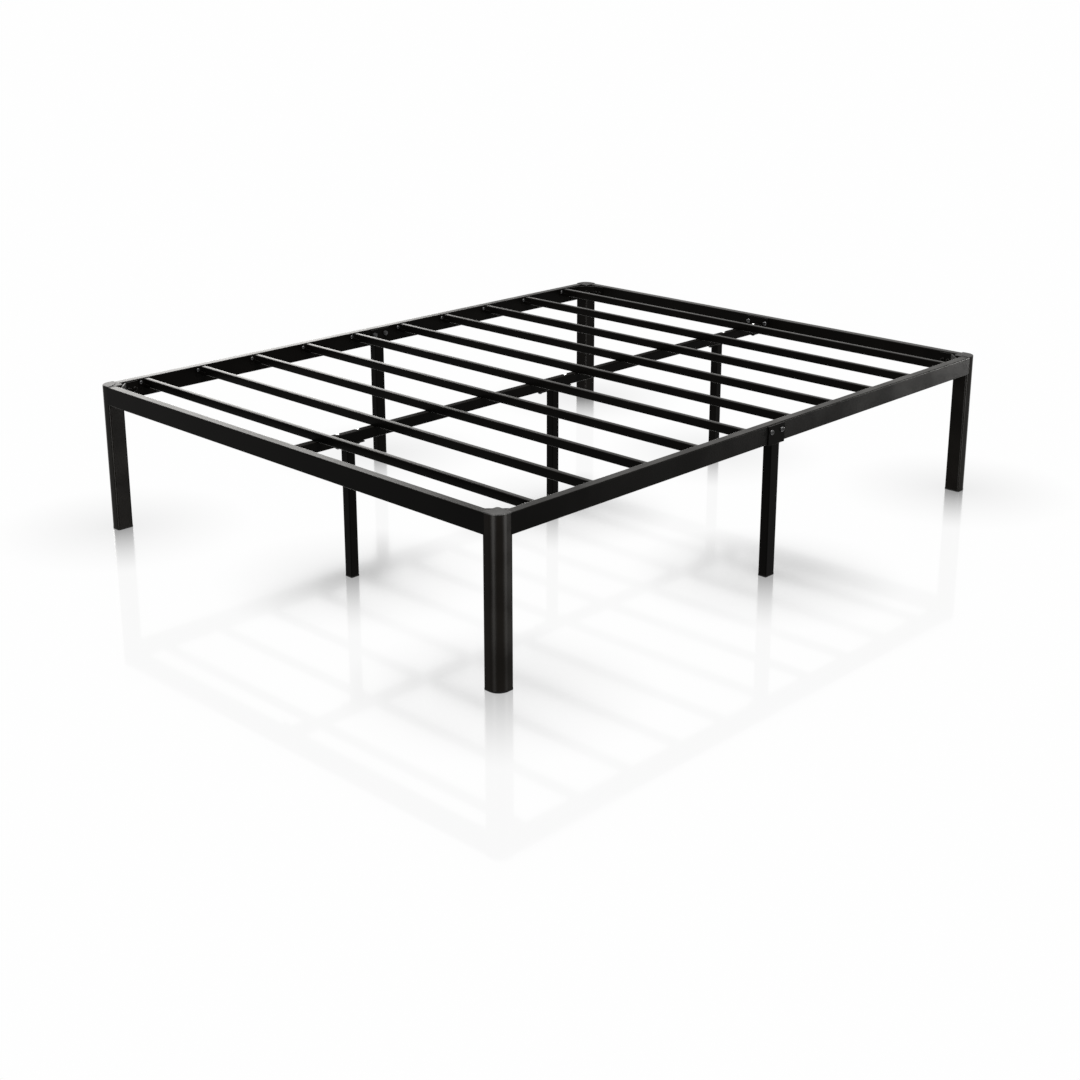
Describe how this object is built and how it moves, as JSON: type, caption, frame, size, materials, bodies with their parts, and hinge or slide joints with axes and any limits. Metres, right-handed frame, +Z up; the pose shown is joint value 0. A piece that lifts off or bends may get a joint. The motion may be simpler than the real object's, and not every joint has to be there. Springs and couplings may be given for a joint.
{
  "type": "metal platform bed frame",
  "caption": "Black tubular steel bed frame on legs, with cross slats hung between the side rails over a centre rail",
  "frame": {"origin": "on the floor under the middle of the frame", "axes": "+X to the right side seen from the foot, +Y from foot to head, +Z up"},
  "size_m": [1.5374, 1.931, 0.406],
  "materials": {
    "black_powder_coat": "satin powder coat",
    "black_plastic": "fine matte",
    "black_fastener": "black oxide",
    "zinc_steel": "zinc plated"
  },
  "bodies": {
    "root": {"centre_hanger_foot": "black_powder_coat", "centre_hanger_head": "black_powder_coat", "centre_leg_foot_end": "black_powder_coat", "centre_leg_glide_foot_end": "black_plastic", "centre_leg_glide_head_end": "black_plastic", "centre_leg_glide_middle": "black_plastic", "centre_leg_head_end": "black_powder_coat", "centre_leg_middle": "black_powder_coat", "centre_rail_bolts": "black_fastener", "centre_rail_foot_half": "black_powder_coat", "centre_rail_head_half": "black_powder_coat", "centre_rail_nuts": "zinc_steel", "centre_rail_sleeve": "black_powder_coat", "corner_bolts": "black_fastener", "corner_brace_foot_left": "black_powder_coat", "corner_brace_foot_right": "black_powder_coat", "corner_brace_head_left": "black_powder_coat", "corner_brace_head_right": "black_powder_coat", "corner_cap_foot_left": "black_plastic", "corner_cap_foot_right": "black_plastic", "corner_cap_head_left": "black_plastic", "corner_cap_head_right": "black_plastic", "corner_glide_foot_left": "black_plastic", "corner_glide_foot_right": "black_plastic", "corner_glide_head_left": "black_plastic", "corner_glide_head_right": "black_plastic", "corner_leg_foot_left": "black_powder_coat", "corner_leg_foot_right": "black_powder_coat", "corner_leg_head_left": "black_powder_coat", "corner_leg_head_right": "black_powder_coat", "foot_rail": "black_powder_coat", "hanger_bolts": "black_fastener", "head_rail": "black_powder_coat", "rail_inserts": "zinc_steel", "saddle_bolts": "black_fastener", "saddle_nuts": "zinc_steel", "side_leg_glide_left": "black_plastic", "side_leg_glide_right": "black_plastic", "side_leg_left": "black_powder_coat", "side_leg_right": "black_powder_coat", "side_rail_left_foot_half": "black_powder_coat", "side_rail_left_head_half": "black_powder_coat", "side_rail_right_foot_half": "black_powder_coat", "side_rail_right_head_half": "black_powder_coat", "side_rail_sleeve_left": "black_powder_coat", "side_rail_sleeve_right": "black_powder_coat", "slat_01": "black_powder_coat", "slat_02": "black_powder_coat", "slat_03": "black_powder_coat", "slat_04": "black_powder_coat", "slat_05": "black_powder_coat", "slat_06": "black_powder_coat", "slat_07": "black_powder_coat", "slat_08": "black_powder_coat", "slat_09": "black_powder_coat", "slat_10": "black_powder_coat", "slat_end_plugs": "black_plastic", "slat_seat_bolts": "black_fastener", "slat_seat_inserts": "zinc_steel", "slat_seats": "black_powder_coat"}
  },
  "joints": []
}
